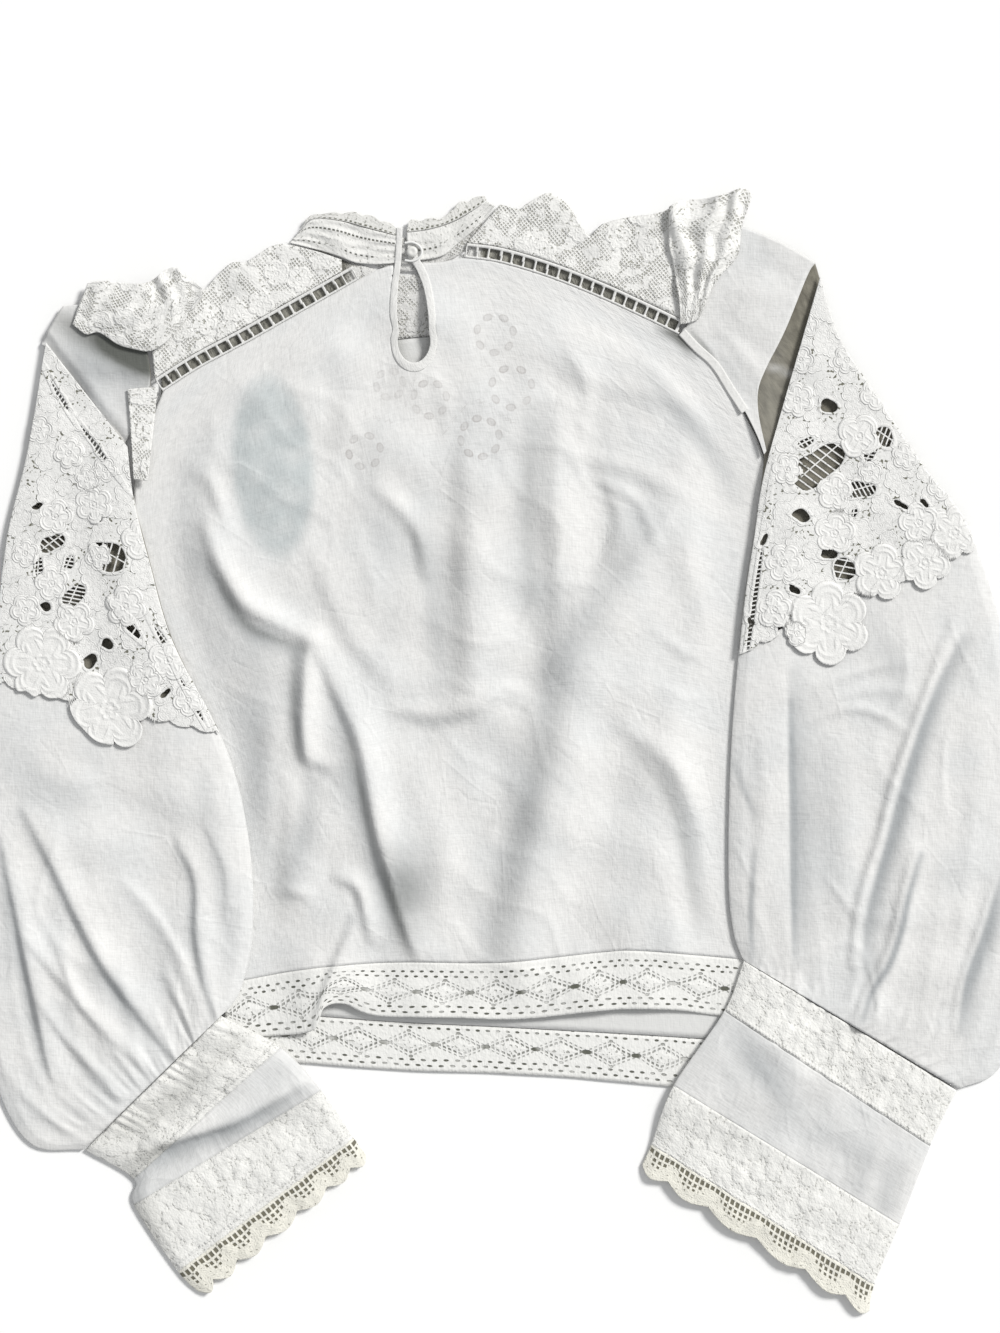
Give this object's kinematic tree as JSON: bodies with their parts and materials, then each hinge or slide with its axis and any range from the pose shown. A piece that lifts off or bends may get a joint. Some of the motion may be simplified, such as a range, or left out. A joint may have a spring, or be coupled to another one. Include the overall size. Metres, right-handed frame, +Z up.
{
  "type": "puff sleeve blouse",
  "caption": "White cotton voile blouse laid flat with its back up: lace yoke, ruffled shoulders, guipure sleeve inserts, puff sleeves and deep lace cuffs.",
  "frame": {"origin": "on the surface it lies on, under the middle of the laid-out blouse's bounding box", "axes": "+Z up out of the surface, +Y from the hem to the collar, +X from the left cuff to the right one as seen from above"},
  "size_m": [0.631, 0.6718, 0.0114],
  "materials": {
    "voile": "matte, lightly crumpled",
    "lace": "matte thread",
    "button": "satin"
  },
  "bodies": {
    "root": {"armhole_tape_left": "lace", "armhole_tape_right": "lace", "back_body": "voile", "back_hem_lace": "lace", "collar_frill_left": "lace", "collar_frill_right": "lace", "collar_left": "lace", "collar_right": "lace", "cuff_band_left": "voile", "cuff_band_right": "voile", "cuff_edging_left": "lace", "cuff_edging_right": "lace", "cuff_lower_lace_left": "lace", "cuff_lower_lace_right": "lace", "cuff_top_lace_left": "lace", "cuff_top_lace_right": "lace", "front_body": "voile", "front_collar": "lace", "front_hem_lace": "lace", "front_yoke": "lace", "guipure_insert_left": "lace", "guipure_insert_right": "lace", "keyhole_binding": "voile", "ladder_left": "lace", "ladder_right": "lace", "neck_button": "button", "neck_loop": "voile", "ruffle_left": "lace", "ruffle_right": "lace", "sleeve_front_left": "voile", "sleeve_front_right": "voile", "sleeve_head_left": "voile", "sleeve_head_right": "voile", "sleeve_puff_left": "voile", "sleeve_puff_right": "voile", "yoke_left": "lace", "yoke_right": "lace"}
  },
  "joints": []
}
